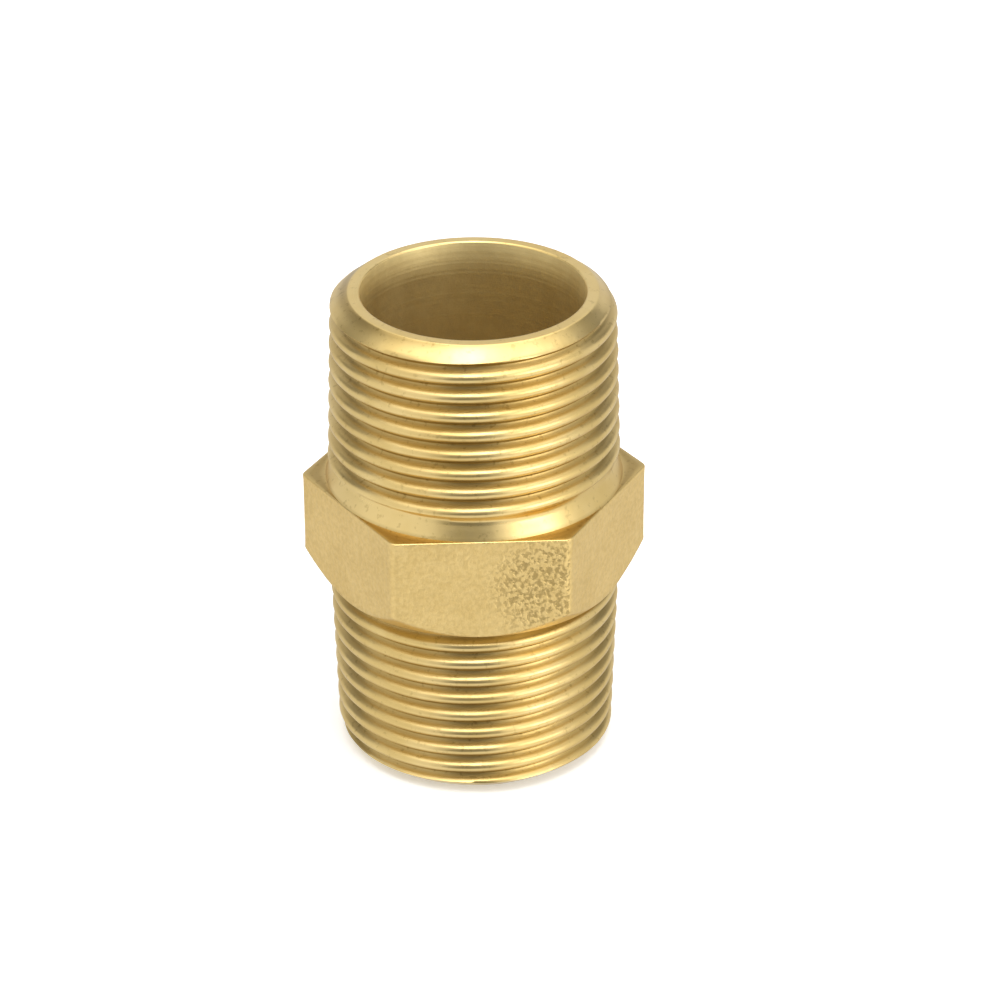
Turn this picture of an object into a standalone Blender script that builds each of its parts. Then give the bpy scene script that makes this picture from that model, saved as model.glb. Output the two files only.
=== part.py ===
# Hex nipple: one piece of brass with a right-hand taper thread on each end, a spanner hexagon
# between them and a straight waterway. Metres, +Z up, standing on its lower end face, with one
# flat of the hexagon facing -Y.
import math

import bmesh
import bpy

MM = 0.001

# Heights above the lower end face.
OVERALL_LENGTH = 44.0 * MM
HEX_BOTTOM = 16.9 * MM
HEX_TOP = 26.35 * MM
NECK_LOW = 27.75 * MM
NECK_HIGH = 28.0 * MM
UPPER_THREAD_START = 28.4 * MM

# Hexagon, with rounded corners that are turned away below, and the neck that flares down to it.
HEX_SIDES = 6
HEX_ACROSS_FLATS = 26.6 * MM
HEX_CORNER_RADIUS = 0.8 * MM
# Even, so that no point of an arc falls on an edge of the cone that turns the corners away.
HEX_CORNER_POINTS = 6
HEX_CHAMFER_RADIUS = 13.25 * MM
HEX_CHAMFER_ANGLE = math.radians(45)
FLARE_RADIUS = 13.2 * MM
NECK_RADIUS = 12.35 * MM

BORE_DIAMETER = 19.7 * MM

# R 3/4 thread: 14 turns to the inch, 1 in 16 on the diameter, 55 degree form with crests cut back.
PITCH = 25.4 * MM / 14
TAPER = 1 / 32
HALF_ANGLE = math.radians(27.5)
THREAD_DEPTH = 0.87 * MM
ROOT_WIDTH = 0.30 * MM
END_CREST_RADIUS = 12.5 * MM
# Heights of a root's middle at -Y, near the lower end face and near the neck.
LOWER_ROOT = 0.03 * MM
UPPER_ROOT = 27.87 * MM

# The flat land and cone that both ends are turned to.
LAND_RADIUS = 10.9 * MM
LEAD_RADIUS = 12.55 * MM
LEAD_HEIGHT = 1.25 * MM

THREAD_COLUMNS = 48
ROUND_SIDES = 72
OVERRUN = 1.0 * MM
MERGE_DISTANCE = 0.002 * MM
SMOOTH_ANGLE = math.radians(30)


def clear_scene():
    for item in list(bpy.data.objects):
        bpy.data.objects.remove(item, do_unlink=True)


def new_object(name, bm):
    bmesh.ops.recalc_face_normals(bm, faces=bm.faces)
    mesh = bpy.data.meshes.new(name)
    bm.to_mesh(mesh)
    bm.free()
    item = bpy.data.objects.new(name, mesh)
    bpy.context.collection.objects.link(item)
    return item


def place(bm, radius, height, angle):
    # Angles run from -Y towards +X, which is anticlockwise from above.
    return bm.verts.new((radius * math.sin(angle), -radius * math.cos(angle), height))


def ring(bm, radius, height, sides):
    return [place(bm, radius, height, math.tau * i / sides) for i in range(sides)]


def bridge(bm, lower, upper):
    for i in range(len(lower)):
        j = (i + 1) % len(lower)
        bm.faces.new((lower[i], lower[j], upper[j], upper[i]))


def turned(name, profile, sides):
    # A closed solid of revolution from (radius, height) points, bottom to top.
    bm = bmesh.new()
    rings = [ring(bm, radius, height, sides) for radius, height in profile]
    for lower, upper in zip(rings, rings[1:]):
        bridge(bm, lower, upper)
    bm.faces.new(rings[0])
    bm.faces.new(rings[-1])
    return new_object(name, bm)


def crest_radius(height):
    from_end = min(height, OVERALL_LENGTH - height)
    return END_CREST_RADIUS + TAPER * from_end


def groove_share(turns):
    # 0 on a crest and 1 on a root, for a distance in turns from the middle of a root.
    from_root = abs(turns - round(turns)) * PITCH
    flank_width = THREAD_DEPTH * math.tan(HALF_ANGLE)
    return min(1.0, max(0.0, 1 - (from_root - ROOT_WIDTH / 2) / flank_width))


def thread_rows(bm, low, high, root):
    # Rows of points up the helix along the edges of its roots and crests, as a skin from low to
    # high. Points past either level are brought back to it, onto their neighbours.
    flank_edge = ROOT_WIDTH / 2 + THREAD_DEPTH * math.tan(HALF_ANGLE)
    edges = (-flank_edge, -ROOT_WIDTH / 2, ROOT_WIDTH / 2, flank_edge)
    turns_below = math.ceil((root - low) / PITCH) + 2
    turns_above = math.ceil((high - root) / PITCH) + 2
    rows = []
    for turn in range(-turns_below, turns_above):
        for edge in edges:
            row = []
            for column in range(THREAD_COLUMNS):
                share = column / THREAD_COLUMNS
                height = root + PITCH * (turn + share) + edge
                height = min(high, max(low, height))
                turns = (height - root) / PITCH - share
                radius = crest_radius(height) - THREAD_DEPTH * groove_share(turns)
                row.append(place(bm, radius, height, math.tau * share))
            rows.append(row)
    one_turn = len(edges)
    for index in range(len(rows) - one_turn - 1):
        lower, upper = rows[index], rows[index + 1]
        for i in range(THREAD_COLUMNS - 1):
            bm.faces.new((lower[i], lower[i + 1], upper[i + 1], upper[i]))
        # The last column meets the first one a whole turn further up.
        next_lower, next_upper = rows[index + one_turn], rows[index + one_turn + 1]
        bm.faces.new((lower[-1], next_lower[0], next_upper[0], upper[-1]))
    return rows[0], rows[-1]


def make_stem():
    # Both threads and the neck as one column, longer than the nipple at each end. The lower
    # groove runs on into the hexagon, and the upper one ends in the neck.
    bm = bmesh.new()
    lower_start, lower_end = thread_rows(bm, -OVERRUN, HEX_BOTTOM + OVERRUN, LOWER_ROOT)
    upper_start, upper_end = thread_rows(
        bm, UPPER_THREAD_START, OVERALL_LENGTH + OVERRUN, UPPER_ROOT
    )
    flare_foot = ring(bm, FLARE_RADIUS, HEX_TOP, THREAD_COLUMNS)
    neck_low = ring(bm, NECK_RADIUS, NECK_LOW, THREAD_COLUMNS)
    neck_high = ring(bm, NECK_RADIUS, NECK_HIGH, THREAD_COLUMNS)
    bridge(bm, lower_end, flare_foot)
    bridge(bm, flare_foot, neck_low)
    bridge(bm, neck_low, neck_high)
    bridge(bm, neck_high, upper_start)
    bm.faces.new(lower_start)
    bm.faces.new(upper_end)
    bmesh.ops.remove_doubles(bm, verts=bm.verts, dist=MERGE_DISTANCE)
    bmesh.ops.dissolve_degenerate(bm, edges=bm.edges, dist=MERGE_DISTANCE / 2)
    return new_object("hex_nipple", bm)


def hexagon_outline():
    # (x, y) points of the hexagon, an arc at each corner.
    half_side = math.pi / HEX_SIDES
    arc_centre = (HEX_ACROSS_FLATS / 2 - HEX_CORNER_RADIUS) / math.cos(half_side)
    points = []
    for corner in range(HEX_SIDES):
        middle = half_side * (2 * corner + 1)
        for step in range(HEX_CORNER_POINTS):
            angle = middle + half_side * (2 * step / (HEX_CORNER_POINTS - 1) - 1)
            x = arc_centre * math.sin(middle) + HEX_CORNER_RADIUS * math.sin(angle)
            y = -arc_centre * math.cos(middle) - HEX_CORNER_RADIUS * math.cos(angle)
            points.append((x, y))
    return points


def make_hexagon():
    bm = bmesh.new()
    outline = hexagon_outline()
    bottom = [bm.verts.new((x, y, HEX_BOTTOM)) for x, y in outline]
    top = [bm.verts.new((x, y, HEX_TOP)) for x, y in outline]
    bridge(bm, bottom, top)
    bm.faces.new(bottom)
    bm.faces.new(top)
    hexagon = new_object("hexagon_tool", bm)
    slope = math.tan(HEX_CHAMFER_ANGLE)
    reach = HEX_ACROSS_FLATS
    cone = turned(
        "hexagon_chamfer_tool",
        [
            (HEX_CHAMFER_RADIUS - OVERRUN * slope, HEX_BOTTOM - OVERRUN),
            (reach, HEX_BOTTOM + (reach - HEX_CHAMFER_RADIUS) / slope),
            (reach, HEX_TOP + reach),
        ],
        ROUND_SIDES,
    )
    add_boolean(hexagon, cone, "INTERSECT")
    return hexagon


def make_lead_in():
    # The envelope of the turned ends: a land and a cone at each end, well clear of the hexagon.
    slope = (LEAD_RADIUS - LAND_RADIUS) / LEAD_HEIGHT
    reach = HEX_ACROSS_FLATS
    cone_height = (reach - LAND_RADIUS) / slope
    profile = [
        (LAND_RADIUS, 0.0),
        (reach, cone_height),
        (reach, OVERALL_LENGTH - cone_height),
        (LAND_RADIUS, OVERALL_LENGTH),
    ]
    return turned("lead_in_tool", profile, ROUND_SIDES)


def make_bore():
    radius = BORE_DIAMETER / 2
    profile = [(radius, -OVERRUN), (radius, OVERALL_LENGTH + OVERRUN)]
    return turned("bore_tool", profile, ROUND_SIDES)


def add_boolean(item, tool, operation):
    tool.hide_render = True
    tool.display_type = "WIRE"
    modifier = item.modifiers.new(tool.name, "BOOLEAN")
    modifier.operation = operation
    modifier.solver = "EXACT"
    modifier.object = tool


def make_brass():
    material = bpy.data.materials.new("yellow_brass")
    material.use_nodes = True
    shader = material.node_tree.nodes["Principled BSDF"]
    shader.inputs["Base Color"].default_value = (0.74, 0.52, 0.19, 1)
    shader.inputs["Metallic"].default_value = 1.0
    shader.inputs["Roughness"].default_value = 0.32
    return material


def main():
    clear_scene()
    nipple = make_stem()
    add_boolean(nipple, make_hexagon(), "UNION")
    add_boolean(nipple, make_lead_in(), "INTERSECT")
    add_boolean(nipple, make_bore(), "DIFFERENCE")
    nipple.data.materials.append(make_brass())
    nipple.data.shade_smooth()
    nipple.data.set_sharp_from_angle(angle=SMOOTH_ANGLE)


main()
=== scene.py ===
import math

import bpy
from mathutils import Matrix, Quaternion, Vector


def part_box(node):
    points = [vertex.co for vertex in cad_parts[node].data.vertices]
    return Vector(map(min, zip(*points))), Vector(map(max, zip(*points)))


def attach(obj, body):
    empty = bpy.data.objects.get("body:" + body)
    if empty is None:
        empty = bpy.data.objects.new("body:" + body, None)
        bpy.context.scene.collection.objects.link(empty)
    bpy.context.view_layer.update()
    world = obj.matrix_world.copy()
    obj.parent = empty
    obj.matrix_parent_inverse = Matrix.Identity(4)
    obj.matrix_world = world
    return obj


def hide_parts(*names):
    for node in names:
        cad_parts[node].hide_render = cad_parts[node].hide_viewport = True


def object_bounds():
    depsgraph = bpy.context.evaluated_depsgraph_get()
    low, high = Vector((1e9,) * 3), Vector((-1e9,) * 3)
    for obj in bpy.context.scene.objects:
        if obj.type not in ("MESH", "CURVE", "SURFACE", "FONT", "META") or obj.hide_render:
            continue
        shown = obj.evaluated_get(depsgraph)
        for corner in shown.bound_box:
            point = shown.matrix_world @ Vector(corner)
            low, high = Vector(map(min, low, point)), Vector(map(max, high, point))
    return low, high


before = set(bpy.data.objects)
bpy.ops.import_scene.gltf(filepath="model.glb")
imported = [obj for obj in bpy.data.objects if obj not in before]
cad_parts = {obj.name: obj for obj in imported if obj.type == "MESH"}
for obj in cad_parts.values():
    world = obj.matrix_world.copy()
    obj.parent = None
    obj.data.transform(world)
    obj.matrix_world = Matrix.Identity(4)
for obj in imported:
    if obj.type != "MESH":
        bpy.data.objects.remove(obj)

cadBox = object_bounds()
boxLow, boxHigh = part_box("hex_nipple")
mm = 0.001
print("frame loaded")


class Field:
    # Wraps a node's output, so that a formula on sockets reads as a formula.
    def __init__(self, tree, socket):
        self.tree = tree
        self.socket = socket

    def calc(self, operation, *others):
        step = self.tree.nodes.new("ShaderNodeMath")
        step.operation = operation
        for target, value in zip(step.inputs, (self, *others)):
            plug(self.tree, target, value)
        return Field(self.tree, step.outputs[0])

    def __add__(self, other):
        return self.calc("ADD", other)

    def __sub__(self, other):
        return self.calc("SUBTRACT", other)

    def __mul__(self, other):
        return self.calc("MULTIPLY", other)

    def __truediv__(self, other):
        return self.calc("DIVIDE", other)

    def __neg__(self):
        return self.calc("MULTIPLY", -1.0)

    def __rsub__(self, other):
        return -self + other

    __radd__ = __add__
    __rmul__ = __mul__


def plug(tree, target, value):
    if isinstance(value, Field):
        tree.links.new(value.socket, target)
    else:
        target.default_value = value


def addNode(tree, kind, settings=None, inputs=None):
    made = tree.nodes.new(kind)
    for name, value in (settings or {}).items():
        setattr(made, name, value)
    for name, value in (inputs or {}).items():
        plug(tree, made.inputs[name], value)
    return made


def output(node, name):
    return Field(node.id_data, node.outputs[name])


def mixFields(start, end, share):
    return start + (end - start) * share


def combine(tree, x, y, z):
    return output(addNode(tree, "ShaderNodeCombineXYZ", inputs={"X": x, "Y": y, "Z": z}), "Vector")


inset = 0.001 * mm  # keeps the flats just inside the frame's box

nipple = {
    "Length": boxHigh.z - boxLow.z,
    "Across Flats": boxHigh.y - boxLow.y - 2 * inset,
    "Hex Bottom": 16.9 * mm,
    "Hex Top": 26.35 * mm,
    "Hex Chamfer Radius": 13.25 * mm,  # where the 45 degree chamfer starts, on the underside
    "Corner Radius": 0.84 * mm,
    "Flare Radius": 13.2 * mm,  # where the neck meets the hexagon's top
    "Neck Radius": 12.35 * mm,
    "Neck Low": 27.75 * mm,
    "Neck High": 28.0 * mm,
    "Upper Thread Start": 28.4 * mm,
    "Bore Radius": 9.85 * mm,
    "Pitch": 25.4 * mm / 14,
    "Thread Depth": 0.87 * mm,
    "Flank Width": 0.453 * mm,  # along the axis
    "Root Width": 0.30 * mm,
    "End Crest Radius": 12.5 * mm,
    "Taper": 1 / 32,
    "Lower Root": 0.03 * mm,  # heights of a root's middle at -Y
    "Upper Root": 27.87 * mm,
    "Land Radius": 10.9 * mm,
    "Lead Slope": 1.32,
    "Edge Radius": 0.12 * mm,
    "Crest Wear": 0.05 * mm,
    "Skin Relief": 0.06 * mm,
    "Seed": 4.0,
    "Columns": 324,
    "Rows Per Turn": 12,
}
finishNames = ("Turned", "Blasted", "Bored")
flatCount = 6
columnCrowding = 0.35  # how far columns gather at the hexagon's corners
rowCrowding = 0.3  # how far rows gather on the threads' flanks
rootSoftness = 0.4
crestSoftness = 1.0
leadSoftness = 0.1 * mm
wearMargin = 0.5 * mm  # crests wear fully at this distance from a thread's ends
skinScale = 420.0
wearScale = 900.0
weldDistance = 0.002 * mm
sharpAngle = 50.0
stepTarnishAndShade = 1.15  # how much tarnish and painted shade the faces next to a step get, as a share of a groove


def hexRadius(size, angle):
    # From the axis to the hexagon's side, with its corners at 30, 90, 150 degrees rounded off.
    halfSide = math.pi / flatCount
    fromFlat = angle.calc("PINGPONG", halfSide)
    fromCorner = halfSide - fromFlat
    apothem = size("Across Flats") / 2
    corner = size("Corner Radius")
    onFlat = apothem / fromFlat.calc("COSINE")
    centre = (apothem - corner) / math.cos(halfSide)
    across = centre * fromCorner.calc("SINE")
    reach = (corner * corner - across * across).calc("MAXIMUM", 0.0).calc("SQRT")
    onCorner = centre * fromCorner.calc("COSINE") + reach
    alongFlat = fromFlat.calc("TANGENT") * apothem
    isCorner = alongFlat.calc("GREATER_THAN", (apothem - corner) * math.tan(halfSide))
    return mixFields(onFlat, onCorner, isCorner)


def grooveShare(size, turns):
    # 0 on a crest and 1 on a root, for a distance in turns from a root's middle.
    fromRoot = (turns - turns.calc("ROUND")).calc("ABSOLUTE") * size("Pitch")
    share = 1.0 - (fromRoot - size("Root Width") / 2) / size("Flank Width")
    return share.calc("SMOOTH_MIN", 1.0, rootSoftness).calc("SMOOTH_MAX", 0.0, crestSoftness)


def threadSurface(size, end, height, angle):
    # The radius of a thread cut on a taper and turned down to a cone at its end, and its groove.
    share = grooveShare(size, (height - size(end + " Root")) / size("Pitch") - angle / math.tau)
    fromFace = height if end == "Lower" else size("Length") - height
    crest = size("End Crest Radius") + size("Taper") * fromFace
    cut = crest - size("Thread Depth") * share
    cone = size("Land Radius") + size("Lead Slope") * fromFace
    return cut.calc("SMOOTH_MIN", cone, leadSoftness), share


def startGrid(tree, size, rows):
    grid = addNode(tree, "GeometryNodeMeshGrid", inputs={"Vertices Y": rows})
    plug(tree, grid.inputs["Vertices X"], size("Columns") + 1.0)
    apart = addNode(tree, "ShaderNodeSeparateXYZ")
    tree.links.new(grid.outputs["UV Map"], apart.inputs["Vector"])
    around = output(apart, "X") * math.tau
    angle = around + (around * flatCount).calc("SINE") * (columnCrowding / flatCount)
    return output(grid, "Mesh"), angle, output(apart, "Y")


def placeGrid(tree, mesh, radius, height, angle, finish, groove):
    # Angles run from -Y towards +X, anticlockwise from above.
    position = combine(
        tree, radius * angle.calc("SINE"), -(radius * angle.calc("COSINE")), height
    )
    # The groove mark also says where the turned finish is darkened, partly as tarnish and partly
    # as painted shade.
    marked = addNode(
        tree,
        "GeometryNodeStoreNamedAttribute",
        {"data_type": "FLOAT", "domain": "POINT"},
        {"Geometry": mesh, "Name": "groove", "Value": groove},
    )
    moved = addNode(
        tree,
        "GeometryNodeSetPosition",
        inputs={"Geometry": output(marked, "Geometry"), "Position": position},
    )
    stored = addNode(
        tree,
        "GeometryNodeStoreNamedAttribute",
        {"data_type": "INT", "domain": "FACE"},
        {"Geometry": output(moved, "Geometry"), "Name": "finish", "Value": finish},
    )
    return output(stored, "Geometry")


def unevenness(tree, size, radius, height, angle, scale):
    # Noise from 0 to 1 at a place on the surface.
    place = combine(tree, radius * angle.calc("SINE"), radius * angle.calc("COSINE"), height)
    noise = addNode(
        tree,
        "ShaderNodeTexNoise",
        {"noise_dimensions": "4D"},
        {"Vector": place, "W": size("Seed"), "Scale": scale, "Detail": 3.0},
    )
    return output(noise, noise.outputs[0].name)


def ruledBand(tree, size, rows, start, end, finish, relief, groove):
    # Straight from one edge to the next; each edge gives (radius, height) for an angle.
    mesh, angle, share = startGrid(tree, size, rows + 1)
    (startRadius, startHeight), (endRadius, endHeight) = start(angle), end(angle)
    radius = mixFields(startRadius, endRadius, share)
    height = mixFields(startHeight, endHeight, share)
    if relief:
        # The relief fades out towards both edges of the band.
        inside = (share * (1.0 - share) * 16.0).calc("MINIMUM", 1.0)
        bumps = unevenness(tree, size, radius, height, angle, skinScale)
        radius = radius - size("Skin Relief") * inside * bumps
    return placeGrid(tree, mesh, radius, height, angle, finish, groove)


def threadBand(tree, size, end, low, high, turnsDown, turnsUp):
    # Rows climb along the helix. Those past an end are brought back to it, where they meet.
    turnCount = turnsDown + turnsUp
    mesh, angle, share = startGrid(tree, size, size("Rows Per Turn") * turnCount + 1)
    turn = share * turnCount - turnsDown
    # Rows gather on the flanks, a quarter turn from the roots.
    turn = turn + (turn * (2 * math.tau)).calc("SINE") * (rowCrowding / (2 * math.tau))
    height = size(end + " Root") + size("Pitch") * (turn + angle / math.tau)
    height = height.calc("MAXIMUM", low).calc("MINIMUM", high)
    radius, groove = threadSurface(size, end, height, angle)
    wear = unevenness(tree, size, radius, height, angle, wearScale) * (1.0 - groove)
    clear = (height - low).calc("MINIMUM", high - height) / wearMargin
    worn = size("Crest Wear") * wear * clear.calc("MINIMUM", 1.0)
    return placeGrid(tree, mesh, radius - worn, height, angle, 0, groove)


def buildNippleTree():
    tree = bpy.data.node_groups.new("hexNippleShape", "GeometryNodeTree")
    for name, value in nipple.items():
        kind = "NodeSocketInt" if isinstance(value, int) else "NodeSocketFloat"
        tree.interface.new_socket(name, in_out="INPUT", socket_type=kind)
    for name in finishNames:
        tree.interface.new_socket(name, in_out="INPUT", socket_type="NodeSocketMaterial")
    tree.interface.new_socket("Geometry", in_out="OUTPUT", socket_type="NodeSocketGeometry")
    given = tree.nodes.new("NodeGroupInput")

    def size(name):
        return output(given, name)

    def ringAt(radius, height):
        return lambda angle: (radius, height)

    length, bore, land = size("Length"), size("Bore Radius"), size("Land Radius")
    edge = size("Edge Radius")
    hexBottom, hexTop = size("Hex Bottom"), size("Hex Top")
    chamferRadius = size("Hex Chamfer Radius")
    lip = edge * 0.4
    lipSlope = lip * size("Lead Slope")

    def threadEdge(end, height):
        return lambda angle: (threadSurface(size, end, height, angle)[0], height)

    def chamferEdge(side):
        # The curve where the chamfer meets the flats, a little below it or above it.
        def rail(angle):
            radius = hexRadius(size, angle)
            tall = radius - chamferRadius
            ease = (tall * 0.3).calc("MINIMUM", edge)
            if side == "below":
                return radius - ease, hexBottom + tall - ease
            return radius, hexBottom + tall + ease

        return rail

    def topEdge(inward, down):
        def rail(angle):
            return hexRadius(size, angle) - edge * inward, hexTop - edge * down

        return rail

    bands = []

    def band(rows, start, end, finish=0, relief=False, groove=0.0):
        bands.append(ruledBand(tree, size, rows, start, end, finish, relief, groove))

    # Lower end: the waterway's mouth, the land and the first thread.
    band(1, ringAt(bore, edge), ringAt(bore + edge, 0.0))
    band(6, ringAt(bore + edge, 0.0), ringAt(land - lip, 0.0))
    band(1, ringAt(land - lip, 0.0), ringAt(land + lipSlope, lip))
    bands.append(threadBand(tree, size, "Lower", lip, hexBottom, 1, 10))

    # Hexagon: underside, chamfer, flats, top edge and top.
    underside = ringAt(chamferRadius, hexBottom)
    # The underside next to the lower thread gets tarnish and painted shade through its groove
    # mark.
    band(3, threadEdge("Lower", hexBottom), underside, groove=stepTarnishAndShade)
    band(6, underside, chamferEdge("below"))
    band(1, chamferEdge("below"), chamferEdge("above"), 1)
    band(26, chamferEdge("above"), topEdge(0.0, 1.0), 1, True)
    band(1, topEdge(0.0, 1.0), topEdge(0.3, 0.3), 1)
    band(1, topEdge(0.3, 0.3), topEdge(1.0, 0.0))
    foot = ringAt(size("Flare Radius"), hexTop)
    # The top face next to the neck gets tarnish and painted shade through its groove mark.
    band(3, topEdge(1.0, 0.0), foot, groove=stepTarnishAndShade)

    # Upper end: the neck, the second thread, the land and the waterway back down.
    threadStart = size("Upper Thread Start")
    neckLow = ringAt(size("Neck Radius"), size("Neck Low"))
    neckHigh = ringAt(size("Neck Radius"), size("Neck High"))
    band(5, foot, neckLow)
    band(1, neckLow, neckHigh)
    band(2, neckHigh, threadEdge("Upper", threadStart))
    bands.append(threadBand(tree, size, "Upper", threadStart, length - lip, 1, 9))
    band(1, ringAt(land + lipSlope, length - lip), ringAt(land - lip, length))
    band(6, ringAt(land - lip, length), ringAt(bore + edge, length))
    band(1, ringAt(bore + edge, length), ringAt(bore, length - edge))
    band(14, ringAt(bore, length - edge), ringAt(bore, edge), 2)

    joined = addNode(tree, "GeometryNodeJoinGeometry")
    for made in reversed(bands):
        tree.links.new(made.socket, joined.inputs[0])
    welded = addNode(
        tree,
        "GeometryNodeMergeByDistance",
        inputs={"Geometry": output(joined, "Geometry"), "Distance": weldDistance},
    )
    realized = addNode(
        tree, "GeometryNodeRealizeInstances", inputs={"Geometry": output(welded, "Geometry")}
    )
    finish = addNode(
        tree,
        "GeometryNodeInputNamedAttribute",
        {"data_type": "INT"},
        {"Name": "finish"},
    )
    current = output(realized, "Geometry")
    for index, name in enumerate(finishNames):
        chosen = addNode(
            tree, "FunctionNodeCompare", {"data_type": "INT", "operation": "EQUAL"}
        )
        tree.links.new(finish.outputs["Attribute"], chosen.inputs[2])
        chosen.inputs[3].default_value = index
        dressed = addNode(
            tree,
            "GeometryNodeSetMaterial",
            inputs={"Geometry": current, "Selection": output(chosen, "Result")},
        )
        tree.links.new(given.outputs[name], dressed.inputs["Material"])
        current = output(dressed, "Geometry")
    result = tree.nodes.new("NodeGroupOutput")
    tree.links.new(current.socket, result.inputs[0])
    return tree


def makeNipple(finishes):
    tree = buildNippleTree()
    start = bpy.data.objects.new("nippleBlank", bpy.data.meshes.new("nippleBlank"))
    bpy.context.scene.collection.objects.link(start)
    modifier = start.modifiers.new("shape", "NODES")
    modifier.node_group = tree
    values = {**nipple, **finishes}
    for item in tree.interface.items_tree:
        if item.in_out == "INPUT":
            modifier[item.identifier] = values[item.name]
    seen = start.evaluated_get(bpy.context.evaluated_depsgraph_get())
    mesh = bpy.data.meshes.new_from_object(seen)
    bpy.data.objects.remove(start)
    mesh.name = "brassNipple"
    mesh.shade_smooth()
    mesh.set_sharp_from_angle(angle=math.radians(sharpAngle))
    made = bpy.data.objects.new("brassNipple", mesh)
    bpy.context.scene.collection.objects.link(made)
    return made


def newFinish(name):
    material = bpy.data.materials.new(name)
    material.use_nodes = True
    tree = material.node_tree
    shader = tree.nodes["Principled BSDF"]
    shader.inputs["Metallic"].default_value = 1.0
    places = output(addNode(tree, "ShaderNodeTexCoord"), "Object")
    apart = addNode(tree, "ShaderNodeSeparateXYZ", inputs={"Vector": places})
    return material, tree, shader, places, apart


def noiseAt(tree, vector, scale, detail=3.0, roughness=0.55):
    noise = addNode(
        tree,
        "ShaderNodeTexNoise",
        inputs={"Vector": vector, "Scale": scale, "Detail": detail, "Roughness": roughness},
    )
    return output(noise, noise.outputs[0].name)


def ringNoise(tree, apart, scale):
    # Fine rings round the axis, on flats, cones and cylinders alike.
    x, y, z = output(apart, "X"), output(apart, "Y"), output(apart, "Z")
    radius = (x * x + y * y).calc("SQRT")
    noise = addNode(
        tree,
        "ShaderNodeTexNoise",
        {"noise_dimensions": "1D"},
        {"W": radius * 0.83 + z, "Scale": scale, "Detail": 2.0},
    )
    return output(noise, noise.outputs[0].name)


def stretch(value, low, high, start=0.0, end=1.0):
    made = addNode(value.tree, "ShaderNodeMapRange", {"interpolation_type": "SMOOTHSTEP"})
    for name, given in zip(
        ("Value", "From Min", "From Max", "To Min", "To Max"), (value, low, high, start, end)
    ):
        plug(value.tree, made.inputs[name], given)
    return output(made, "Result")


def blendColours(tree, share, first, second):
    made = addNode(tree, "ShaderNodeMix", {"data_type": "RGBA"})
    plug(tree, made.inputs["Factor"], share)
    for target, value in ((made.inputs[6], first), (made.inputs[7], second)):
        plug(tree, target, value if isinstance(value, Field) else (*value, 1.0))
    return Field(tree, made.outputs[2])


def bump(tree, shader, height, distance):
    made = addNode(
        tree,
        "ShaderNodeBump",
        inputs={"Height": height, "Distance": distance, "Strength": 1.0},
    )
    tree.links.new(made.outputs["Normal"], shader.inputs["Normal"])


def markOn(tree, name):
    return output(addNode(tree, "ShaderNodeAttribute", {"attribute_name": name}), "Fac")


turned = {
    "bright": (0.91, 0.69, 0.30),
    "warm": (0.82, 0.60, 0.23),
    # The tarnish colour marks tarnish in the specks, and partly tarnish and partly painted shade
    # in the thread roots and on the faces next to a step.
    "tarnishAndShade": (0.40, 0.27, 0.085),
    "grooveTarnishAndShade": 0.72,
    "tarnishInSpecks": 0.30,
    "roughness": (0.25, 0.41),
    "ringScale": 4200.0,
    "cloudScale": 170.0,
    "speckScale": 1900.0,
    "scratchScale": 1400.0,
    "depth": 0.012 * mm,
}


def makeTurnedBrass():
    material, tree, shader, places, apart = newFinish("turnedBrass")
    groove = markOn(tree, "groove")
    rings = ringNoise(tree, apart, turned["ringScale"])
    clouds = stretch(noiseAt(tree, places, turned["cloudScale"]), 0.35, 0.65)
    specks = stretch(noiseAt(tree, places, turned["speckScale"]), 0.58, 0.70)
    colour = blendColours(tree, clouds, turned["bright"], turned["warm"])
    # Darker towards the thread roots and next to the steps, partly tarnish and partly painted
    # shade; the specks are tarnish.
    stainAndShade = groove * turned["grooveTarnishAndShade"] + specks * turned["tarnishInSpecks"]
    stainAndShade = stainAndShade.calc("MINIMUM", 1.0)
    colour = blendColours(tree, stainAndShade, colour, turned["tarnishAndShade"])
    plug(tree, shader.inputs["Base Color"], colour)
    low, high = turned["roughness"]
    rough = mixFields(low, high, rings * 0.5 + clouds * 0.3 + groove * 0.2)
    plug(tree, shader.inputs["Roughness"], rough)
    scratches = noiseAt(tree, places, turned["scratchScale"])
    bump(tree, shader, rings + scratches * 0.8, turned["depth"])
    return material


blasted = {
    "bright": (0.96, 0.72, 0.31),
    "warm": (0.86, 0.63, 0.25),
    "pit": (0.42, 0.29, 0.10),
    "pitStain": 0.72,
    "roughness": (0.40, 0.58),
    "grainScale": 2300.0,
    "cloudScale": 240.0,
    "pitScale": 2500.0,
    "grainDepth": 0.11 * mm,
    "grainEverywhere": 0.16,  # how strong the pits are away from the coarse patch
    "coarseAt": (5.8 * mm, -13.2 * mm, 21.8 * mm),  # a patch where the pits are deeper
    "coarseReach": (2.2 * mm, 6.2 * mm),
    "coarseFace": (-13.25 * mm, -13.0 * mm),  # it stays on the front flat, up to its edge
}


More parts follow.
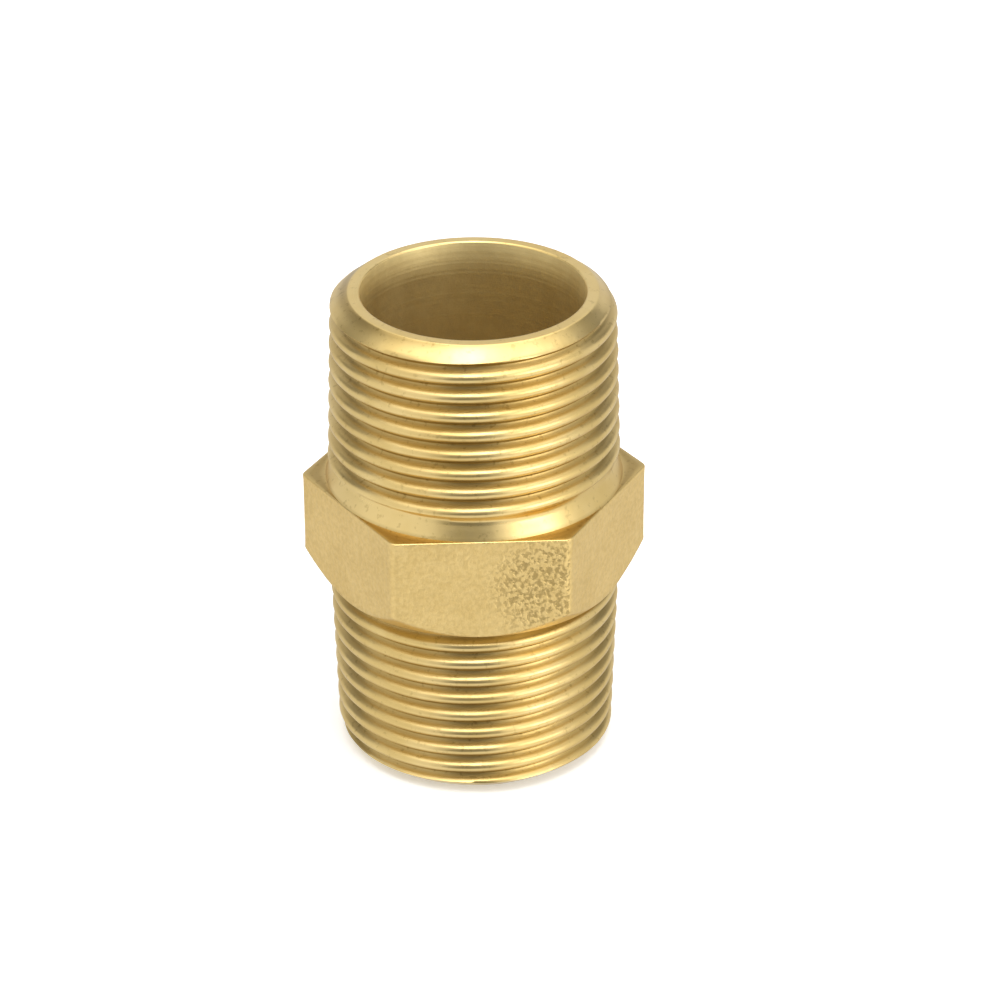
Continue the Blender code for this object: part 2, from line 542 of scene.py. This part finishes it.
def makeBlastedBrass():
    material, tree, shader, places, apart = newFinish("blastedBrass")
    grain = noiseAt(tree, places, blasted["grainScale"], 4.0, 0.65)
    away = addNode(
        tree,
        "ShaderNodeVectorMath",
        {"operation": "DISTANCE"},
        {0: places, 1: blasted["coarseAt"]},
    )
    near, far = blasted["coarseReach"]
    coarse = stretch(output(away, "Value"), near, far, 1.0, 0.0)
    coarse = coarse * stretch(output(apart, "Y"), *blasted["coarseFace"], 1.0, 0.0)
    weight = (coarse + blasted["grainEverywhere"]).calc("MINIMUM", 1.0)
    pits = stretch(noiseAt(tree, places, blasted["pitScale"], 2.0, 0.5), 0.36, 0.60, 1.0, 0.0)
    pits = pits * weight
    clouds = stretch(noiseAt(tree, places, blasted["cloudScale"]), 0.3, 0.7)
    shade = clouds * 0.5 + stretch(grain, 0.38, 0.62) * 0.5
    colour = blendColours(tree, shade, blasted["bright"], blasted["warm"])
    colour = blendColours(tree, pits * blasted["pitStain"], colour, blasted["pit"])
    plug(tree, shader.inputs["Base Color"], colour)
    low, high = blasted["roughness"]
    plug(tree, shader.inputs["Roughness"], mixFields(low, high, grain))
    bump(tree, shader, grain * 0.6 - pits * 0.6, blasted["grainDepth"])
    return material


bored = {
    "bright": (0.72, 0.58, 0.28),
    "dull": (0.65, 0.51, 0.24),
    "roughness": (0.48, 0.64),
    "ringScale": 2600.0,
    "streakScale": 420.0,
    "streakStretch": 0.08,  # the streaks' share of the height
    "mottleScale": 700.0,
    "scratchScale": 900.0,
    "depth": 0.015 * mm,
}


def makeBoredBrass():
    material, tree, shader, places, apart = newFinish("boredBrass")
    rings = ringNoise(tree, apart, bored["ringScale"])
    drawn = output(apart, "Z") * bored["streakStretch"]
    along = combine(tree, output(apart, "X"), output(apart, "Y"), drawn)
    streaks = stretch(noiseAt(tree, along, bored["streakScale"]), 0.35, 0.65)
    mottle = stretch(noiseAt(tree, places, bored["mottleScale"]), 0.35, 0.65)
    share = streaks * 0.5 + mottle * 0.5
    colour = blendColours(tree, share, bored["bright"], bored["dull"])
    plug(tree, shader.inputs["Base Color"], colour)
    low, high = bored["roughness"]
    plug(tree, shader.inputs["Roughness"], mixFields(low, high, rings * 0.6 + streaks * 0.4))
    scratches = noiseAt(tree, places, bored["scratchScale"])
    bump(tree, shader, rings + scratches, bored["depth"])
    return material


finishes = {
    "Turned": makeTurnedBrass(),
    "Blasted": makeBlastedBrass(),
    "Bored": makeBoredBrass(),
}
print("finishes made")

brassNipple = makeNipple(finishes)
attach(brassNipple, "root")
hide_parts("hex_nipple")
print("nipple made:", len(brassNipple.data.polygons), "faces")


studio = {
    "floorSide": 4.0,
    "floorColour": (0.90, 0.90, 0.90),
    "floorRoughness": 0.9,
    "floorGlow": 0.30,
    "behind": 1.0,  # what the camera sees past the floor
    "surround": 0.76,
    "topPower": 0.6,
    "topSide": 0.5,
    "topHeight": 0.7,
    "topAzimuth": 150.0,
    "topElevation": 75.0,
}
# Soft panels all round, as the brass sees them. Azimuth 0 is in front and 90 to the right.
panels = (
    # azimuth, half width, elevation, half height, soft edge, brightness over the surround
    (0.0, 180.0, 90.0, 30.0, 14.0, 0.95),  # overhead
    (-4.0, 24.0, 76.0, 9.0, 9.0, 4.20),  # the overhead panel's bright core
    (0.0, 60.0, -38.0, 18.0, 14.0, 0.10),  # low in front
    (48.0, 22.0, -5.0, 45.0, 14.0, 0.38),  # right of the front
    (48.0, 8.0, 28.0, 8.0, 8.0, 3.00),  # the right panel's bright core
    (-64.0, 26.0, 0.0, 45.0, 14.0, 0.14),  # left of the front
    (180.0, 30.0, 20.0, 40.0, 12.0, -0.06),  # behind
    (-6.0, 19.0, 18.0, 26.0, 5.0, -0.58),  # the dark gap round the camera
    (125.0, 9.0, 32.0, 12.0, 9.0, -0.60),  # gaps between the side and back panels
    (-125.0, 9.0, 32.0, 12.0, 9.0, -0.60),
)


def aim(item, centre, azimuth, elevation, distance):
    turn, rise = math.radians(azimuth), math.radians(elevation)
    away = Vector(
        (math.sin(turn) * math.cos(rise), -math.cos(turn) * math.cos(rise), math.sin(rise))
    )
    item.location = centre + away * distance
    item.rotation_mode = "QUATERNION"
    item.rotation_quaternion = (-away).to_track_quat("-Z", "Y")


def makeFloor():
    half = studio["floorSide"] / 2
    mesh = bpy.data.meshes.new("studioFloor")
    corners = [(-half, -half, 0), (half, -half, 0), (half, half, 0), (-half, half, 0)]
    mesh.from_pydata([(x, y, z + cadBox[0].z) for x, y, z in corners], [], [(0, 1, 2, 3)])
    floor = bpy.data.objects.new("studioFloor", mesh)
    bpy.context.scene.collection.objects.link(floor)
    floor.visible_glossy = False
    material = bpy.data.materials.new("paleFloor")
    material.use_nodes = True
    shader = material.node_tree.nodes["Principled BSDF"]
    shader.inputs["Base Color"].default_value = (*studio["floorColour"], 1.0)
    shader.inputs["Roughness"].default_value = studio["floorRoughness"]
    shader.inputs["Emission Color"].default_value = (1.0, 1.0, 1.0, 1.0)
    shader.inputs["Emission Strength"].default_value = studio["floorGlow"]
    mesh.materials.append(material)


def panelShare(value, half, soft):
    # 1 within half of the panel's middle, and 0 past its soft edge.
    return stretch(value.calc("ABSOLUTE"), half, half + soft, 1.0, 0.0)


def makeWorld():
    world = bpy.data.worlds.new("softRoom")
    world.use_nodes = True
    tree = world.node_tree
    toward = output(addNode(tree, "ShaderNodeTexCoord"), "Generated")
    apart = addNode(tree, "ShaderNodeSeparateXYZ", inputs={"Vector": toward})
    azimuth = output(apart, "X").calc("ARCTAN2", -output(apart, "Y")) * (180.0 / math.pi)
    elevation = output(apart, "Z").calc("ARCSINE") * (180.0 / math.pi)
    light = studio["surround"]
    for side, halfWidth, rise, halfHeight, soft, brightness in panels:
        across = (azimuth - side).calc("WRAP", 180.0, -180.0)
        panel = panelShare(elevation - rise, halfHeight, soft) * brightness
        if halfWidth < 180.0:
            panel = panel * panelShare(across, halfWidth, soft)
        light = light + panel
    isCamera = output(addNode(tree, "ShaderNodeLightPath"), "Is Camera Ray")
    ground = tree.nodes["Background"]
    ground.inputs["Color"].default_value = (1.0, 1.0, 1.0, 1.0)
    plug(tree, ground.inputs["Strength"], mixFields(light, studio["behind"], isCamera))
    bpy.context.scene.world = world


def makeTopLight(centre):
    lamp = bpy.data.lights.new("topSoftbox", "AREA")
    lamp.shape = "SQUARE"
    lamp.size = studio["topSide"]
    lamp.energy = studio["topPower"]
    item = bpy.data.objects.new("topSoftbox", lamp)
    bpy.context.scene.collection.objects.link(item)
    aim(item, centre, studio["topAzimuth"], studio["topElevation"], studio["topHeight"])
    item.visible_camera = False


view = {
    "azimuth": -2.44,
    "elevation": 28.95,
    "distance": 0.3225,
    "lens": 129.8,
    "sensor": 36.0,
    "roll": -0.35,
    "shift": (0.02557, 0.01197),
}


def makeCamera(centre):
    data = bpy.data.cameras.new("studioCamera")
    data.lens = view["lens"]
    data.sensor_width = view["sensor"]
    data.shift_x, data.shift_y = view["shift"]
    data.clip_start, data.clip_end = 0.01, 20.0
    camera = bpy.data.objects.new("studioCamera", data)
    bpy.context.scene.collection.objects.link(camera)
    aim(camera, centre, view["azimuth"], view["elevation"], view["distance"])
    tilt = Quaternion((0.0, 0.0, 1.0), math.radians(view["roll"]))
    camera.rotation_quaternion = camera.rotation_quaternion @ tilt
    bpy.context.scene.camera = camera


middle = (boxLow + boxHigh) / 2
makeFloor()
makeWorld()
makeTopLight(middle)
makeCamera(middle)
bpy.context.scene.view_settings.view_transform = "Standard"
print("studio made")
